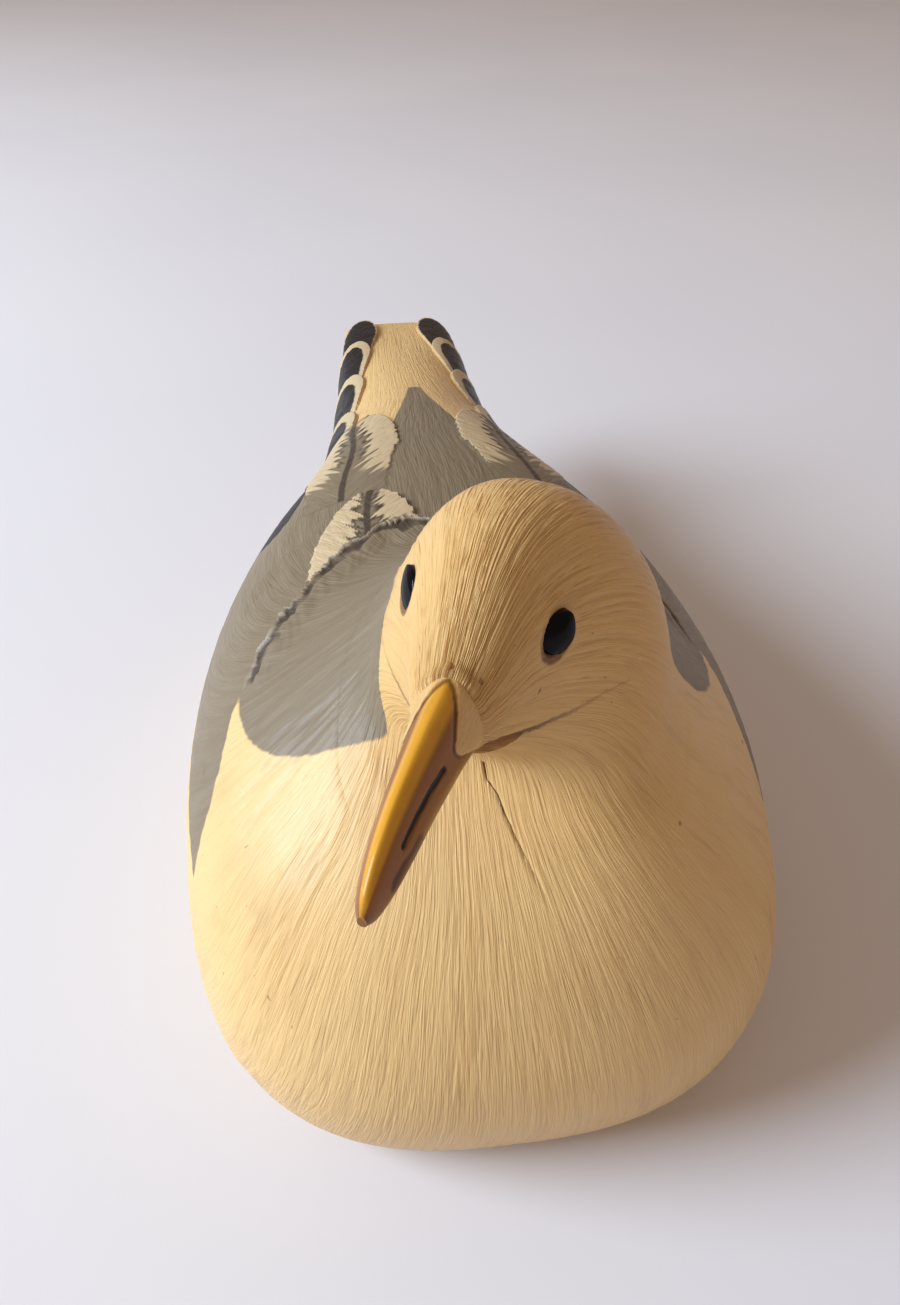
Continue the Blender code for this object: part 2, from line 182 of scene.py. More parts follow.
# Marks of the bill (along, up): outline of the cream lobe, nostril's slash and dark spot
LOBE = (
    (-148.6, 142.6), (-153.8, 140.6), (-158.5, 138.4), (-161.3, 136.4), (-160.4, 134.6),
    (-154.0, 130.4), (-147.7, 126.2), (-139.3, 121.0), (-120, 121), (-120, 150), (-148.6, 150),
)
NOSTRIL_LINE = ((-165.5, 136.4), (-171.0, 136.9), (-176.5, 136.7), (-181.5, 136.0))
NOSTRIL_HALF = 0.62
SPOT_LINE = ((-177.5, 132.3), (-185.5, 132.5))
SPOT_HALF = 1.6

# Depths and heights of the relief, in millimetres
BACK_SUNK = 0.7
BACK_LIFT = 0.85
FLANK_DROP = 0.21
HIDDEN_DEPTH = 1.0
SKIN_DEPTH = 0.03
LID_RISE = 0.26
EYE_BED = 1.4
THROAT_CUT = 0.4
MOUTH_CUT = 0.35
CHIP_RISE = 0.3
BILL_LAP = 0.9
BILL_ROOT_SUNK = 0.8
LOBE_RISE = 0.30
LOBE_GROOVE = 0.12
NOSTRIL_CUT = 0.5
CAPE_CUT = 0.7
SECOND_RISE = 0.7
BODY_GROOVE = 0.10
BACK_GROOVE = 0.13
BARB_GROOVE = 0.20

# Values of a mark where there is none, in millimetres
NO_PAINT = -20.0
NO_LINE = 30.0
NO_GAPE = -9.0

# Mesh density
BODY_COLUMNS = 736
# Millimetres that one station stands for at the finer back's front
STATION_STEP = 12.0
# Rows of the body's mesh from each station to the next
BODY_ROWS = (7, 8, 9, 15, 15, 15, 7, 6, 6, 5, 5, 4, 3, 3, 3, 3, 3, 3, 3, 3, 3, 3)
BACK_COLUMNS = 232
BACK_ROWS = 424
# How far round from the top the finer back reaches, and the station at which it starts
BACK_REACH = 0.335
BACK_FRONT = 8.2
LAST_STATION = len(STATIONS) - 1
BILL_COLUMNS = 144
BILL_ROWS = 170

# One large carved groove for each of these shares of the way round, and a stroke's length
GROOVES_AROUND = 236
STROKE = 21.0
GROOVE_WIDTH = 0.34
GROOVE_SEED = 3.0

# Glass eyes, in steps of the drawing: drop's length and height, how far its dome stands out
# and its edge goes in, slant, narrowing, upward facing, and each one's forward facing
EYE_HEART = (-113.0, 132.8)
EYE_LENGTH = 9.6
EYE_HEIGHT = 7.6
EYE_DOME = 1.2
EYE_EDGE = 0.22
EYE_DEPTH = 4.0
EYE_NARROWING = 0.38
EYE_UPWARD = math.radians(14.0)
EYE_SLANT = math.radians(30.0)
EYE_FORWARD = {"eye_left": math.radians(49.0), "eye_right": math.radians(31.0)}
EYE_SIDE = {"eye_left": 1, "eye_right": -1}


# Node trees written as Python expressions
class Value:
    """A number on a node's socket; Python's operators make the maths nodes between them."""

    def __init__(self, graph, socket):
        self.graph = graph
        self.socket = socket

    def __add__(self, other):
        return self.graph.maths("ADD", self, other)

    def __radd__(self, other):
        return self.graph.maths("ADD", other, self)

    def __sub__(self, other):
        return self.graph.maths("SUBTRACT", self, other)

    def __rsub__(self, other):
        return self.graph.maths("SUBTRACT", other, self)

    def __mul__(self, other):
        return self.graph.maths("MULTIPLY", self, other)

    def __rmul__(self, other):
        return self.graph.maths("MULTIPLY", other, self)

    def __truediv__(self, other):
        return self.graph.maths("DIVIDE", self, other)

    def __abs__(self):
        return self.graph.maths("ABSOLUTE", self)

    def step(self, low, high):
        """0 below low, 1 above high, smooth between."""
        made = self.graph.node(
            "ShaderNodeMapRange",
            {"interpolation_type": "SMOOTHSTEP"},
            {"Value": self, "From Min": low, "From Max": high},
        )
        return Value(self.graph, made.outputs["Result"])

    def least(self, other):
        return self.graph.maths("MINIMUM", self, other)


class Graph:
    """A node tree being written."""

    def __init__(self, tree):
        self.tree = tree

    def node(self, kind, settings, values):
        made = self.tree.nodes.new(kind)
        for name, value in settings.items():
            setattr(made, name, value)
        for name, value in values.items():
            self.feed(made.inputs[name], value)
        return made

    def feed(self, socket, value):
        if isinstance(value, Value):
            self.tree.links.new(value.socket, socket)
        elif isinstance(value, bpy.types.NodeSocket):
            self.tree.links.new(value, socket)
        else:
            socket.default_value = value

    def maths(self, operation, *values):
        made = self.tree.nodes.new("ShaderNodeMath")
        made.operation = operation
        for socket, value in zip(made.inputs, values):
            self.feed(socket, value)
        return Value(self, made.outputs[0])

    def mix(self, share, first, second):
        """A colour that goes from the first to the second as the share goes from 0 to 1."""
        made = self.tree.nodes.new("ShaderNodeMix")
        made.data_type = "RGBA"
        for index, value in ((0, share), (6, first), (7, second)):
            if isinstance(value, tuple):
                value = (*value, 1.0)
            self.feed(made.inputs[index], value)
        return made.outputs[2]

    def scaled(self, vector, scale):
        made = self.node("ShaderNodeVectorMath", {"operation": "MULTIPLY"}, {0: vector, 1: scale})
        return made.outputs[0]

    def noise(self, vector, scale, detail=2.0, roughness=0.5, seed=0.0, distortion=0.0):
        made = self.node(
            "ShaderNodeTexNoise",
            {"noise_dimensions": "4D"},
            {
                "Vector": vector,
                "W": seed,
                "Scale": scale,
                "Detail": detail,
                "Roughness": roughness,
                "Distortion": distortion,
            },
        )
        return Value(self, made.outputs[0])


# Shapes from the drawing
def station_at(rows, place):
    """Values at a fractional row number, on a smooth curve through the rows (Catmull-Rom)."""
    rows = np.array(rows, float)
    padded = np.vstack([2 * rows[0] - rows[1], rows, 2 * rows[-1] - rows[-2]])
    place = min(max(place, 0.0), len(rows) - 1.0)
    index = min(int(place), len(rows) - 2)
    t = place - index
    before, start, end, after = padded[index : index + 4]
    cubic = 3 * start - before - 3 * end + after
    square = 2 * before - 5 * start + 4 * end - after
    return 0.5 * (2 * start + (end - before) * t + square * t**2 + cubic * t**3)


def section(top, bottom, half_width, widest, above, below, shares):
    """Points (across, along, up) of a section; shares run from -0.5 to 0.5, 0 at its top."""
    turn = np.linspace(0, math.pi, 700)
    rise = np.cos(turn)
    power = np.where(rise > 0, above, below)
    height = np.sign(rise) * np.abs(rise) ** (2 / power)
    spread = np.abs(np.sin(turn)) ** (2 / power)
    depth = np.where(height > 0, widest * (1 - height), widest - (1 - widest) * height)
    run = np.concatenate([[0], np.cumsum(np.hypot(np.diff(depth), np.diff(spread)))])
    even = 2 * np.abs(shares) * run[-1]
    down = np.interp(even, run, depth)
    out = np.interp(even, run, spread) * np.sign(shares)
    along = top[0] + (bottom[0] - top[0]) * down
    up = top[1] + (bottom[1] - top[1]) * down
    return np.stack([half_width * out, along, up], -1)


def in_metres(plain, share):
    """Drawing points in metres, turned about the neck line by a share of the head's turn."""
    angle = HEAD_TURN * np.asarray(share, float)
    x = plain[..., 0] * WIDE
    y = (plain[..., 1] - NECK_LINE) * LONG
    turned_x = x * np.cos(angle) + y * np.sin(angle)
    turned_y = y * np.cos(angle) - x * np.sin(angle) + (NECK_LINE - MIDDLE) * LONG
    return np.stack([turned_x, turned_y, plain[..., 2] * HIGH], -1)


class Skin:
    """A grid of places on the gull's body: rows at fractional stations, shares round it."""

    def __init__(self, places, shares):
        rows = [station_at(STATIONS, place) for place in places]
        self.shares = np.broadcast_to(shares, (len(rows), len(shares)))
        self.plain = np.array(
            [section(row[0:2], row[2:4], *row[4:8], shares) for row in rows]
        )
        self.plain[..., 0] += np.array([row[9] for row in rows])[:, None]
        self.turn = np.array([row[8] for row in rows])[:, None]
        self.world = in_metres(self.plain, self.turn)
        self.out = outward(self.world)
        steps = np.linalg.norm(np.diff(self.world, axis=0), axis=-1) / MILLIMETRE
        self.run = np.concatenate([np.zeros((1, len(shares))), np.cumsum(steps, 0)])

    @property
    def body(self):
        """Places in the drawing after the head's turn: across, along, up."""
        x = self.world[..., 0] / WIDE
        y = self.world[..., 1] / LONG + MIDDLE
        return x, y, self.world[..., 2] / HIGH


def outward(grid):
    """Outward unit directions of a grid whose rows run to the tail and columns to the left."""
    down_rows = np.gradient(grid, axis=0)
    across = np.gradient(grid, axis=1)
    found = np.cross(across, down_rows)
    size = np.linalg.norm(found, axis=-1, keepdims=True)
    return found / np.maximum(size, 1e-12)


# Distances on the drawing, in millimetres, above 0 inside
def inside_outline(x, y, outline):
    """Distance into a closed outline, below 0 outside it."""
    points = np.array(outline, float)
    nearest = np.full(np.shape(x), 1e9)
    within = np.zeros(np.shape(x), bool)
    for a, b in zip(points, np.roll(points, -1, 0)):
        edge = b - a
        t = np.clip(((x - a[0]) * edge[0] + (y - a[1]) * edge[1]) / (edge @ edge), 0, 1)
        nearest = np.minimum(nearest, np.hypot(x - a[0] - t * edge[0], y - a[1] - t * edge[1]))
        if edge[1]:
            crossing = (a[1] > y) != (b[1] > y)
            within ^= crossing & (x < a[0] + (y - a[1]) * edge[0] / edge[1])
    return np.where(within, nearest, -nearest)


def near_line(points, line):
    """Distance to a line through given points, in as many dimensions as they have."""
    line = np.array(line, float)
    nearest = np.full(points.shape[:-1], 1e9)
    for a, b in zip(line, line[1:]):
        edge = b - a
        t = np.clip(((points - a) @ edge) / (edge @ edge), 0, 1)
        nearest = np.minimum(nearest, np.linalg.norm(points - a - t[..., None] * edge, axis=-1))
    return nearest


def eased(value, low, high):
    t = np.clip((value - low) / (high - low), 0, 1)
    return t * t * (3 - 2 * t)


def table(value, pairs):
    """A value looked up in (place, value) pairs, straight between them."""
    places, values = np.array(pairs, float).T
    return np.interp(value, places, values)


def waves(x, y, pitch, seed):
    """A smooth wandering value from -1 to 1."""
    chance = np.random.default_rng(seed)
    total = np.zeros(np.shape(x))
    for _ in range(5):
        heading = chance.uniform(0, 2 * math.pi)
        size = 2 * math.pi / (pitch * chance.uniform(0.6, 1.7))
        total += np.sin(size * (x * math.cos(heading) + y * math.sin(heading)) + chance.uniform(0, 6.3))
    return total / 3


# Feathers on the back
def feather_place(x, y, feather):
    """Distances along a feather from its root, and across it from its quill."""
    (tip_x, tip_y), splay, length = feather[0], math.radians(feather[1]), feather[2]
    axis_x = -math.sin(splay)
    axis_y = math.cos(splay)
    from_tip_x = x - tip_x
    from_tip_y = y - tip_y
    along = length + from_tip_x * axis_x + from_tip_y * axis_y
    across = from_tip_x * axis_y - from_tip_y * axis_x
    return along, across


def inside_feather(along, across, length, half, tip_length):
    """Distance into a feather with a round tip, about right near its rim."""
    shaft = half * np.interp(along / length, [0, 0.7], [0.75, 1.0]) - np.abs(across)
    ahead = np.maximum(along - (length - tip_length), 0) / tip_length
    reach = np.hypot(ahead, across / half)
    slope = np.maximum(np.hypot(ahead / tip_length, across / half**2) / np.maximum(reach, 1e-6), 1e-6)
    return np.minimum(np.where(ahead > 0, (1 - reach) / slope, shaft), along)


def back_relief(x, y, up):
    """Rise of the feathers and cape, black and pale paint, dark lines with painted shade, a painted
    highlight on the cape's lip, and the barbs.
    """
    x = np.abs(x)
    shape = np.shape(x)
    rise = np.zeros(shape)
    black = np.minimum(inside_outline(x, y, WING_STRIPE), up - table(y, WING_FOOT) - 4.0)
    tip = np.full(shape, NO_PAINT)
    dark = np.zeros(shape)
    barbs = np.zeros((*shape, 3))
    feathered = np.zeros(shape, bool)
    for number, feather in enumerate((*PRIMARIES, *TERTIALS)):
        along, across = feather_place(x, y, feather)
        length, width, tip_length, high = feather[2:]
        half = width / 2
        ragged = 0.35 * waves(x, y, 4.0, 40 + number) if number >= len(PRIMARIES) else 0.0
        into = inside_feather(along, across, length, half, tip_length) + ragged
        share = np.clip(along / length, 0, 1)
        crown = 1 - FEATHER_CROWN * np.clip(across / half, -1, 1) ** 2
        height = high * ((1 + FEATHER_DIP) * np.sqrt(share) - FEATHER_DIP) * crown
        here = (into > 0) & (height > rise)
        rise = np.where(here, height, rise)
        beside = along * math.sin(BARB_SLANT) - np.abs(across) * math.cos(BARB_SLANT)
        down = along * math.cos(BARB_SLANT) + np.abs(across) * math.sin(BARB_SLANT)
        apart = np.full(shape, 7.3 * number) + np.sign(across)
        flow = np.stack([beside / BARB_WIDTH, apart, down / BARB_LENGTH], -1)
        barbs = np.where(here[..., None], flow, barbs)
        feathered = feathered | here
        if number < len(PRIMARIES):
            inner_stay, outer_stay, tip_stay = BLACK_STAYS[number]
            aside = across - (inner_stay - outer_stay) / 2
            width_left = half - (outer_stay + inner_stay) / 2
            inner = inside_feather(along + 12, aside, length - tip_stay + 12, width_left, tip_length)
            black = np.where(here, inner, black)
            tip = np.where(here, 10.0, tip)
            dark = np.where(here, 0.3 * eased(-into, -0.8, -0.1) * (number > 0), dark)
        else:
            bent = across - 0.8 * np.sin(along / 9.0)
            barb_noise = waves(beside * 2.2, down * 0.12, 4.0, 70 + number)
            near_quill = 2.6 + 2.2 * barb_noise + 2.5 * eased(share, 0.9, 0.45)
            from_root = (share - 0.30 - 0.05 * barb_noise) * length
            pale = np.minimum(np.abs(bent) - near_quill, from_root * 0.5)
            quill = eased(-np.abs(bent), -1.5, -0.4)
            edge_dark = eased(pale, -2.8, -0.6) * (1 - eased(pale, -0.2, 1.2))
            edge_dark = edge_dark * eased(share, 0.25, 0.5)
            tip = np.where(here, pale, tip)
            dark = np.where(here, np.maximum(quill, 0.75 * edge_dark), dark)
            black = np.where(here, -5.0, black)
    teeth = 1.5 * np.abs(((x / 3.1 + 0.8 * waves(x, y, 13.0, 3)) % 1.0) * 2 - 1)
    teeth = teeth + 1.1 * waves(x, y, 7.0, 4)
    ahead = table(x, CAPE_EDGE) + teeth - y
    cape_end = CAPE_EDGE[-1][0]
    on_cape = (ahead > 0) & (x < cape_end)
    fade = eased(x, cape_end, cape_end - 9)
    ramp = CAPE_RISE * np.clip(1 - ahead / CAPE_RAMP, 0, 1) * fade
    rise = np.where(on_cape, ramp, rise)
    tip = np.where(on_cape, NO_PAINT, tip)
    black = np.where(on_cape, NO_PAINT, black)
    dark = np.where(on_cape, 0.0, dark)
    feathered = feathered & ~on_cape
    # Painted shade behind the cape's raised edge, at the foot of its step
    foot = eased(ahead, -3.0, -1.0) * (ahead < 0.0) * fade * (x < cape_end)
    reach = np.maximum(6.2 + 1.8 * waves(x, y, 6.0, 6), 4.0)
    # A notch carved into the cape before its edge, with painted shadow in it
    cut = eased(ahead, 0.7, 1.5) * (1 - eased(ahead / reach, 0.55, 1.0))
    ends = eased(x, cape_end + 2, cape_end - 5)
    cut = cut * ends * (0.75 + 0.25 * waves(x, y, 6.0, 7))
    dark = np.maximum(dark, np.maximum(0.6 * foot, cut * on_cape))
    rise = np.where(on_cape, rise - CAPE_CUT * cut, rise)
    # Painted highlight: a pale lip along the cape's edge, where its step faces the light
    lip = eased(ahead, -0.2, 0.3) * (1 - eased(ahead, 0.9, 1.5)) * ends * on_cape
    second = table(x, SECOND_EDGE) + 0.6 * teeth - y
    on_second = (second > 0) & ~on_cape & (x > 30) & ~feathered
    second_ends = eased(x, 30, 36) * (1 - eased(x, 54, 62))
    rise = np.where(on_second, SECOND_RISE * np.clip(1 - second / 8, 0, 1) * second_ends, rise)
    # Painted shade along the foot of the low second edge
    line = eased(second, -1.6, -0.3) * (second < 0.2) * eased(x, 32, 38) * (1 - eased(x, 56, 62))
    dark = np.maximum(dark, 0.45 * line * ~on_cape)
    return rise, black, tip, dark, lip, barbs, feathered


def paint_places(skin):
    """Distance into the grey paint for a grid on the body."""
    x, y, z = skin.body
    back = inside_outline(np.abs(x), y, BACK_PAINT)
    wing = 0.8 * (y - table(z, WING_FRONT))
    wing = np.where(np.abs(x) > 30, wing, NO_PAINT)
    foot = z - table(y, WING_FOOT)
    grey = np.minimum(np.maximum(back, wing), foot)
    neck_foot = table(y, NECK_FOOT)
    neck_foot = neck_foot + (table(y, NECK_RIGHT) - neck_foot) * eased(-x, 4, 20)
    neck = np.maximum(neck_foot - z, x - 37.0)
    return np.minimum(grey, neck)


def bill_depth_at(points):
    """Distance into the bill's root in millimetres, for places in the head's own drawing."""
    x, y, z = np.moveaxis(points, -1, 0)
    fore = (BILL_TOP[0] - y) / BILL_LENGTH
    share, ridge, under, wide = np.array(BILL_PROFILE).T
    top = BILL_TOP[1] + (np.interp(fore, share, ridge) - 1) * BILL_DEPTH
    low = BILL_TOP[1] + (np.interp(fore, share, under) - 1) * BILL_DEPTH
    half = np.interp(fore, share, wide) * BILL_WIDTH / 2
    down = (top - z) / np.maximum(top - low, 0.1)
    above = down < BILL_WIDEST
    height = np.where(above, 1 - down / BILL_WIDEST, (down - BILL_WIDEST) / (1 - BILL_WIDEST))
    power = np.where(above, *BILL_FULLNESS)
    room = np.clip(1 - np.clip(height, 0, 1) ** power, 0, 1) ** (1 / power)
    near = (height < 1) & (fore < 0.2) & (fore > -0.3)
    return np.where(near, half * room - np.abs(x * WIDE / MILLIMETRE), NO_GAPE)


def head_marks(skin):
    """Places beside the mouth's stain, the throat's crack and the chips, in millimetres."""
    x, y, z = np.moveaxis(skin.plain, -1, 0)
    on_head = skin.turn > 0.5
    mouth = z - table(-y, MOUTH_LINE)
    mouth = np.where(on_head & (y > -146) & (y < -118), mouth, NO_LINE * np.sign(mouth))
    crack = x - table(z, CRACK_LINE)
    crack = np.where((y < -128) & (z < CRACK_LINE[-1][0]), crack, NO_LINE * np.sign(crack))
    chips = np.minimum(*(near_line(skin.plain, line) for line in CHIP_LINES))
    corner_y, corner_z = GAPE_LINE[1]
    gape = np.minimum(table(y, GAPE_LINE) - z, corner_y - 0.9 * (corner_z - z) - y)
    gape = np.where(on_head, gape, NO_GAPE)
    return {
        "gape": gape,
        "mouth": mouth,
        "mouth_along": y,
        "crack": crack,
        "crack_up": z,
        "chip": chips,
    }


# Meshes
def write_point_values(mesh, name, values):
    values = np.asarray(values, float)
    kind = "FLOAT_VECTOR" if values.shape[-1] == 3 and values.ndim > 1 else "FLOAT"
    layer = mesh.attributes.new(name, kind, "POINT")
    layer.data.foreach_set("vector" if kind == "FLOAT_VECTOR" else "value", values.ravel())


def mesh_from(name, points, faces, values):
    mesh = bpy.data.meshes.new(name)
    mesh.from_pydata(points.reshape(-1, 3), [], faces)
    for key, value in values.items():
        flat = value.reshape(-1, 3) if value.ndim == 3 else value.ravel()
        write_point_values(mesh, key, flat)
    made = bpy.data.objects.new(name, mesh)
    bpy.context.scene.collection.objects.link(made)
    return made


def grid_faces(rows, columns, closed):
    """Quads of a grid; a closed grid's last column meets its first."""
    found = []
    for r in range(rows - 1):
        for c in range(columns if closed else columns - 1):
            d = (c + 1) % columns
            here, below = r * columns, (r + 1) * columns
            found.append((here + c, below + c, below + d, here + d))
    return found


def face_outward(item):
    shape = bmesh.new()
    shape.from_mesh(item.data)
    bmesh.ops.recalc_face_normals(shape, faces=shape.faces)
    shape.to_mesh(item.data)
    shape.free()


def smooth_shaded(item):
    item.data.shade_smooth()
    item.data.set_sharp_from_angle(angle=math.radians(50))


# Carved grooves
def groove_tree():
    """Cuts grooves into a surface along its flow, as deep as its depth value says."""
    tree = bpy.data.node_groups.new("carved grooves", "GeometryNodeTree")
    face = tree.interface
    face.new_socket("Geometry", in_out="INPUT", socket_type="NodeSocketGeometry")
    sharpness = face.new_socket("Groove width", in_out="INPUT", socket_type="NodeSocketFloat")
    sharpness.default_value = GROOVE_WIDTH
    seed = face.new_socket("Seed", in_out="INPUT", socket_type="NodeSocketFloat")
    seed.default_value = GROOVE_SEED
    paint = face.new_socket("Paint", in_out="INPUT", socket_type="NodeSocketMaterial")
    face.new_socket("Geometry", in_out="OUTPUT", socket_type="NodeSocketGeometry")
    graph = Graph(tree)
    given = tree.nodes.new("NodeGroupInput")
    result = tree.nodes.new("NodeGroupOutput")
    read = "GeometryNodeInputNamedAttribute"
    flow = graph.node(read, {"data_type": "FLOAT_VECTOR"}, {"Name": "flow"})
    depth = graph.node(read, {"data_type": "FLOAT"}, {"Name": "depth"})
    out = graph.node(read, {"data_type": "FLOAT_VECTOR"}, {"Name": "out"})
    width = Value(graph, given.outputs["Groove width"])
    chance = given.outputs["Seed"]
    vector = flow.outputs["Attribute"]
    wide = graph.noise(vector, 0.78, 1.0, 0.5, chance)
    line = 1.0 - abs(wide * 2.0 - 1.0).step(0.0, width * 0.62)
    fine = graph.noise(vector, 1.7, 1.0, 0.5, Value(graph, chance) + 7.0)
    broad = graph.scaled(vector, (0.22, 0.22, 0.5))
    swell = graph.noise(broad, 1.0, 1.0, 0.5, Value(graph, chance) + 13.0)
    cut = line * (0.45 + 0.55 * swell.step(0.3, 0.62)) + 0.42 * fine.step(0.35, 0.75)
    drop = cut * Value(graph, depth.outputs["Attribute"]) * -MILLIMETRE
    shift = graph.node(
        "ShaderNodeVectorMath",
        {"operation": "SCALE"},
        {0: out.outputs["Attribute"], "Scale": drop},
    )
    moved = graph.node(
        "GeometryNodeSetPosition",
        {},
        {"Geometry": given.outputs["Geometry"], "Offset": shift.outputs[0]},
    )
    kept = graph.node(
        "GeometryNodeStoreNamedAttribute",
        {"data_type": "FLOAT", "domain": "POINT"},
        {"Geometry": moved.outputs[0], "Name": "groove", "Value": cut},
    )
    real = graph.node("GeometryNodeRealizeInstances", {}, {"Geometry": kept.outputs[0]})
    painted = graph.node(
        "GeometryNodeSetMaterial",
        {},
        {"Geometry": real.outputs[0], "Material": given.outputs["Paint"]},
    )
    tree.links.new(painted.outputs[0], result.inputs[0])
    return tree, {"width": sharpness.identifier, "seed": seed.identifier, "paint": paint.identifier}


def carve(item, tree, sockets, paint):
    """Cuts the grooves and leaves a plain mesh."""
    step = item.modifiers.new("grooves", "NODES")
    step.node_group = tree
    step[sockets["width"]] = GROOVE_WIDTH
    step[sockets["seed"]] = GROOVE_SEED
    step[sockets["paint"]] = paint
    state = bpy.context.evaluated_depsgraph_get()
    carved = bpy.data.meshes.new_from_object(item.evaluated_get(state))
    item.modifiers.clear()
    item.data = carved
    item.data.name = item.name


def groove_flow(skin):
    """Where each place lies in the pattern of grooves: round the body, and along a stroke."""
    angle = 2 * math.pi * skin.shares
    wander = 1.0 * waves(skin.run, 30 * np.sin(angle), 110.0, 11)
    wander = wander + 0.18 * waves(skin.run, 60 * np.cos(angle), 36.0, 12)
    radius = GROOVES_AROUND / (2 * math.pi)
    angle = angle + wander / radius
    return np.stack([radius * np.cos(angle), radius * np.sin(angle), skin.run / STROKE], -1)


def covered(skin):
    """How far a place lies inside the finer mesh of the back, in millimetres."""
    girth = np.sum(np.linalg.norm(np.diff(skin.world, axis=1), axis=-1), 1) / MILLIMETRE
    span = np.ptp(skin.shares, axis=1)
    return (BACK_REACH - np.abs(skin.shares)) * (girth / span)[:, None]


def eye_frame(node):
    """An eye's centre on the head's skin, and its outward, lengthwise and upward directions."""
    skin = Skin(np.linspace(0, 9, 82), np.arange(240) / 240 - 0.5 + 0.5 / 240)
    rows, columns = skin.shares.shape
    head = BVHTree.FromPolygons(skin.world.reshape(-1, 3).tolist(), grid_faces(rows, columns, True))
    side = EYE_SIDE[node]
    forward = EYE_FORWARD[node]
    level = math.cos(EYE_UPWARD)
    facing = (side * math.cos(forward) * level, -math.sin(forward) * level, math.sin(EYE_UPWARD))
    back = (0.0, math.cos(EYE_SLANT), math.sin(EYE_SLANT))
    found = []
    for x, y, z in (facing, back):
        across = x * math.cos(HEAD_TURN) + y * math.sin(HEAD_TURN)
        along = y * math.cos(HEAD_TURN) - x * math.sin(HEAD_TURN)
        found.append(Vector((across, along, z)))
    outward_way = found[0].normalized()
    back_way = (found[1] - found[1].dot(outward_way) * outward_way).normalized()
    heart = in_metres(np.array([0.0, *EYE_HEART]), 1.0)
    centre = head.ray_cast(Vector(heart), outward_way)[0]
    rise = outward_way.cross(back_way) * side
    return np.array(centre), np.array(outward_way), np.array(back_way), np.array(rise)


def drop_outline(turn):
    """A drop lying along the first axis, its point towards +, at given turns round it."""
    along = np.cos(turn)
    swell = 1.0 - EYE_NARROWING * np.maximum(along, 0.0) ** 2
    return EYE_LENGTH / 2 * along, EYE_HEIGHT / 2 * np.sin(turn) * swell


def eye_distance(points, frames):
    """Distance outside the nearer eye's outline on the head, and the place below it, from 0 to 1."""
    best = np.full(points.shape[:-1], 50.0)
    below = np.zeros(points.shape[:-1])
    turn = np.linspace(0, 2 * math.pi, 97)
    outline = np.stack(drop_outline(turn), -1)
    for centre, facing, back, rise in frames.values():
        local = (points - centre) / MILLIMETRE
        a, b, height = local @ back, local @ rise, local @ facing
        close = (np.hypot(a, b) < 14) & (np.abs(height) < 8)
        best[close] = -inside_outline(a[close], b[close], outline[:-1])
        below[close] = np.clip(0.55 - local[..., 2][close] / 7.0, 0, 1)
    return best, below


def eye_piece(node, frame_of_eye, paint):
    """A drop of glass with a dome, its edge sunk into the head."""
    centre, facing, back, rise = frame_of_eye
    turn = np.linspace(0, 2 * math.pi, 96, endpoint=False)
    a, b = drop_outline(turn)
    levels = [(-EYE_DEPTH, 0.2), (-EYE_DEPTH, 0.7), (-EYE_DEPTH, 0.98), (-EYE_DEPTH * 0.9, 1.0)]
    levels.append((-0.4, 1.0))
    for share in np.cos(np.linspace(0.1, math.pi / 2 - 0.04, 16)):
        dome = EYE_EDGE + (EYE_DOME - EYE_EDGE) * (1 - share**2)
        levels.append((dome - 0.1 * share**8, share))
    rings = []
    for height, share in levels:
        flat = a[:, None] * back * share + b[:, None] * rise * share
        rings.append(centre + (flat + height * facing) * MILLIMETRE)
    rings = np.array(rings)
    rows, columns = len(levels), len(turn)
    faces = grid_faces(rows, columns, True)
    faces.append(tuple(range(columns)))
    faces.append(tuple(range((rows - 1) * columns, rows * columns)))
    item = mesh_from(f"{node}_drop", rings, faces, {})
    face_outward(item)
    item.data.shade_smooth()
    item.data.materials.append(paint)
    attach(item, "root")
    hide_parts(node)
    return item


def no_marks(shape):
    """Values of a surface that has no mark on it."""
    plain = {name: np.full(shape, NO_PAINT) for name in ("black", "tip")}
    plain.update({name: np.full(shape, NO_LINE) for name in ("mouth", "crack", "chip")})
    plain.update({name: np.zeros(shape) for name in ("dark", "lip", "rim", "warm")})
    plain["gape"] = np.full(shape, NO_GAPE)
    return plain


def towards_tail(along):
    """Share of the grooves' depth that is left near the tail's end."""
    return 1 - 0.5 * eased(along, 140, 166)


